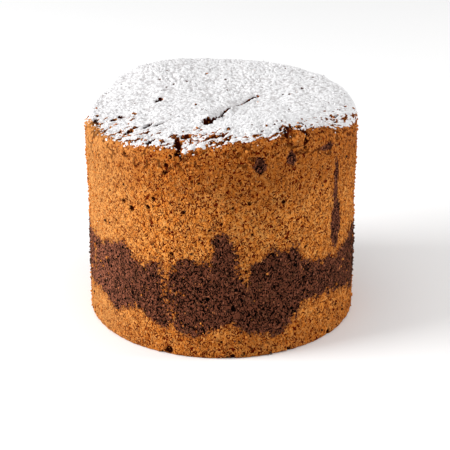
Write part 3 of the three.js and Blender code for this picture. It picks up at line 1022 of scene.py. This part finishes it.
points = np.concatenate([crust_skin.reshape(-1, 3), [[0, 0, SHOULDER - SKIRT - HIDDEN_END]]])
crust = made_solid("sugared_crust", points, sheet_faces(CRUST_CELLS), sheet_map(CRUST_CELLS))
give_value(crust, "pit", pits, 0)
give_value(crust, "cocoa", drip_depth(plain), OUTSIDE)
give_value(crust, "dust", dust, 0)
# Painted shade for the sugar: in the creases between mounds, and stronger in the sag behind the fault
give_value(crust, "crease_and_sag_shade", np.maximum(creased * (1 - below), np.minimum(1.25 * painted_shade, 1)), 0)

SUGAR = {
    "shade": (0.715, 0.71, 0.72, 1),
    "light": (0.84, 0.835, 0.84, 1),
    # Painted shade: grey for the creases and the sag
    "painted_shade": (0.38, 0.35, 0.35, 1),
}
# Share of the painted shade that shows on the sugar
PAINTED_SHADE_SHARE = 0.57


def sugared_material():
    """Crumb under icing sugar: white where there is dust, its edge broken by the grain, with painted shade in
    creases and in the sag behind the fault.
    """
    material, fine, colour = crumb_material("sugared_crumb", bump=0.75)
    tree = material.node_tree
    broken = sums(tree, "MULTIPLY_ADD", fine["Grain"], 1.2, -0.6)
    share = mapped(tree, sums(tree, "ADD", attribute(tree, "dust"), broken), 0.38, 0.6)
    # Painted shade in creases and in the sag
    painted_shade = sums(tree, "MULTIPLY", attribute(tree, "crease_and_sag_shade"), PAINTED_SHADE_SHARE)
    sugar = blend(tree, fine["Grain"], SUGAR["shade"], SUGAR["light"])
    sugar = blend(tree, painted_shade, sugar, SUGAR["painted_shade"])
    tree.links.new(blend(tree, share, colour, sugar), tree.nodes["Principled BSDF"].inputs["Base Color"])
    return material


crust.data.materials.append(sugared_material())
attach(crust, "root")
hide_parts("cake")

# The loose crumbs
# Dry crumbs of either batter that broke off when the cake was turned out, and clots of the icing sugar.
# Each is a pebble of twenty faces that clings where it fell, sunk by part of its size into what carries it.
GOLDEN_RATIO = (1 + math.sqrt(5)) / 2
signs = [(a, b) for a in (-1, 1) for b in (-GOLDEN_RATIO, GOLDEN_RATIO)]
PEBBLE = np.array([np.roll((0, a, b), turn) for turn in range(3) for a, b in signs])
EDGE_LIMIT = 2.1
PEBBLE_FACES = np.array([
    face if np.linalg.det(PEBBLE[list(face)]) > 0 else face[::-1]
    for face in combinations(range(len(PEBBLE)), 3)
    if all(np.linalg.norm(PEBBLE[a] - PEBBLE[b]) < EDGE_LIMIT for a, b in combinations(face, 2))
])
PEBBLE = PEBBLE / np.linalg.norm(PEBBLE[0])
PEBBLE_OUT = 0.3
CRUMB_SEED = 17
CRUMB_SIZES = (0.32, 0.95)
CLOT_SIZES = (0.35, 0.95)
CELL_CORNERS = np.array([(0.15, 0.15), (0.85, 0.15), (0.15, 0.85)])
draw = np.random.default_rng(CRUMB_SEED)


def picked(skin, outward, chance, count):
    """Places and outward directions of so many points of a skin, drawn by chance without repeats."""
    chance = chance.ravel() / chance.sum()
    number = draw.choice(chance.size, count, replace=False, p=chance)
    return np.stack([skin.reshape(-1, 3)[number], outward.reshape(-1, 3)[number]])


def pebbles_at(name, places, sizes, material):
    """One mesh of pebbles at these places, each of a drawn size and shade, uneven by drawn factors."""
    sites, outward = np.concatenate(places, axis=1)
    count = len(sites)
    size = between(sizes, draw.random((count, 1, 1)) ** 3)
    along_axes = 0.7 + 0.6 * draw.random((count, 1, 3))
    for_points = 0.8 + 0.4 * draw.random((count, len(PEBBLE), 1))
    points = (sites + PEBBLE_OUT * size[:, 0] * outward)[:, None] + size * (PEBBLE * along_axes * for_points)
    faces = PEBBLE_FACES + len(PEBBLE) * np.arange(count)[:, None, None]
    side = math.ceil(math.sqrt(count))
    cell = np.stack([np.arange(count) % side, np.arange(count) // side], -1)
    flat_map = (cell[:, None, None] + CELL_CORNERS + np.zeros((1, len(PEBBLE_FACES), 1, 1))) / side
    made = made_solid(name, points.reshape(-1, 3), [faces.reshape(-1, 3)], flat_map.reshape(-1, 2))
    give_value(made, "shade", np.repeat(draw.random(count), len(PEBBLE)))
    made.data.materials.append(material)
    return made


def pebble_material(name, dark, light):
    """Matt dried crumb, for each pebble between a dark and a light colour by its shade."""
    material, tree, shader = matt_material(name, 0.08)
    tree.links.new(blend(tree, attribute(tree, "shade"), dark, light), shader.inputs["Base Color"])
    return material


# A layer shows where it lies no deeper than this, and crumbs keep this far from the base and from drips
SHOWS_ABOVE = 0.3
FOOT_CLEAR = 1.0
DRIP_CLEAR = 1.0
# Chance of a crumb where none is wanted, so that every place can be drawn
LEAST_CHANCE = 1e-9
layers = {
    "lower": (lower_skin, (lower_sunk < SHOWS_ABOVE) & (lower_skin[..., 2] >= FOOT_CLEAR)),
    "cocoa": (cocoa_skin, cocoa_sunk < SHOWS_ABOVE),
    "upper": (upper_skin, (upper_sunk < SHOWS_ABOVE) & (drip_depth(upper_skin) < -DRIP_CLEAR)),
}
crust_shown = sink < SHOWS_ABOVE
crust_bare = (1 - dust) * crust_shown * (drip_depth(plain) < -DRIP_CLEAR) + LEAST_CHANCE


def on_layers(counts):
    """Places on the layers of sponge, so many on each one named, facing away from the cake's axis."""
    places = []
    for name, count in counts.items():
        skin, shown = layers[name]
        flat = skin * np.array([1, 1, 0])
        places.append(picked(skin, flat / np.linalg.norm(flat, axis=-1, keepdims=True), shown, count))
    return places


places = on_layers({"lower": 1100, "upper": 3600, "cocoa": 140})
places.append(picked(crust_skin, outward, crust_bare, 700))
dry_vanilla = pebble_material("vanilla_crumb", (0.30, 0.075, 0.009, 1), (0.66, 0.235, 0.045, 1))
vanilla_crumbs = pebbles_at("vanilla_crumbs", places, CRUMB_SIZES, dry_vanilla)
places = on_layers({"cocoa": 2400, "upper": 60, "lower": 50})
dry_cocoa = pebble_material("cocoa_crumb", (0.02, 0.007, 0.0035, 1), (0.15, 0.056, 0.026, 1))
cocoa_crumbs = pebbles_at("cocoa_crumbs", places, CRUMB_SIZES, dry_cocoa)
# Clots of sugar lie along the rim, most at the front left, and over the sugar
CLOTTED = (-40, -0.6, 0.9)
along_rim = bell(along - CRUST_RADIUS - 1, 4) * crust_shown * stretch(angle, *CLOTTED) + LEAST_CHANCE
places = [
    picked(crust_skin, outward, along_rim, 160),
    picked(crust_skin, outward, dust + LEAST_CHANCE, 500),
]
clotted_sugar = pebble_material("icing_sugar_clot", (0.72, 0.715, 0.725, 1), (0.85, 0.845, 0.85, 1))
sugar_clots = pebbles_at("sugar_clots", places, CLOT_SIZES, clotted_sugar)
for piece, slot in ((vanilla_crumbs, "sponge"), (cocoa_crumbs, "sponge"), (sugar_clots, "icing_sugar")):
    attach(piece, "root")

# The floor
# A plain pale sweep that the cake stands on.
# It is one large square of matt paint, at the height of the cake's base.
FLOOR = [(-6, -6, 0), (6, -6, 0), (6, 6, 0), (-6, 6, 0)]
floor_mesh = bpy.data.meshes.new("floor")
floor_mesh.from_pydata(FLOOR, [], [(0, 1, 2, 3)])
floor = placed("floor", floor_mesh)
floor_paint, _, floor_shader = matt_material("floor_paint", 0.5)
floor_shader.inputs["Base Color"].default_value = (0.93, 0.93, 0.93, 1)
floor.data.materials.append(floor_paint)

# The light
# A soft white room, with a large soft key from the left.
# A weak light from above and one from the right fill in the rest.
CAKE_MIDDLE = np.array([0, 0, 0.08])
LIGHT_AWAY = 1.6
world = bpy.data.worlds.new("soft_room")
world.use_nodes = True
room = world.node_tree.nodes["Background"]
room.inputs["Color"].default_value = (1, 1, 1, 1)
room.inputs["Strength"].default_value = 0.38
bpy.context.scene.world = world


def aim(made, middle, away, turn, rise):
    """Sets an object away from a middle, at a turn round it and a rise above it, facing it."""
    a, e = math.radians(turn), math.radians(rise)
    back = np.array([math.sin(a) * math.cos(e), -math.cos(a) * math.cos(e), math.sin(e)])
    made.location = middle + away * back
    made.rotation_euler = (math.pi / 2 - e, 0, a)


def soft_light(name, turn, rise, size, power):
    """A square area light aimed at the cake's middle."""
    lamp = bpy.data.lights.new(name, "AREA")
    lamp.energy = power
    lamp.size = size
    aim(placed(name, lamp), CAKE_MIDDLE, LIGHT_AWAY, turn, rise)


soft_light("key_left", turn=-78, rise=25, size=0.9, power=34)
soft_light("over", turn=-20, rise=80, size=1.2, power=7)
soft_light("rim_right", turn=92, rise=20, size=0.6, power=13.5)

# The camera
# A long lens, looking a little down on the cake's front.
# It is aimed a little to the right of the cake's axis, below its middle.
CAMERA_AWAY = 1.5
CAMERA_RISE = 23.81
CAMERA_AIM = np.array([0.00245, 0, 0.0571])
lens = bpy.data.cameras.new("camera")
lens.lens = 173.8
lens.sensor_width = 36.0
camera = placed("camera", lens)
aim(camera, CAMERA_AIM, CAMERA_AWAY, 0, CAMERA_RISE)
bpy.context.scene.camera = camera
bpy.context.scene.view_settings.view_transform = "Standard"
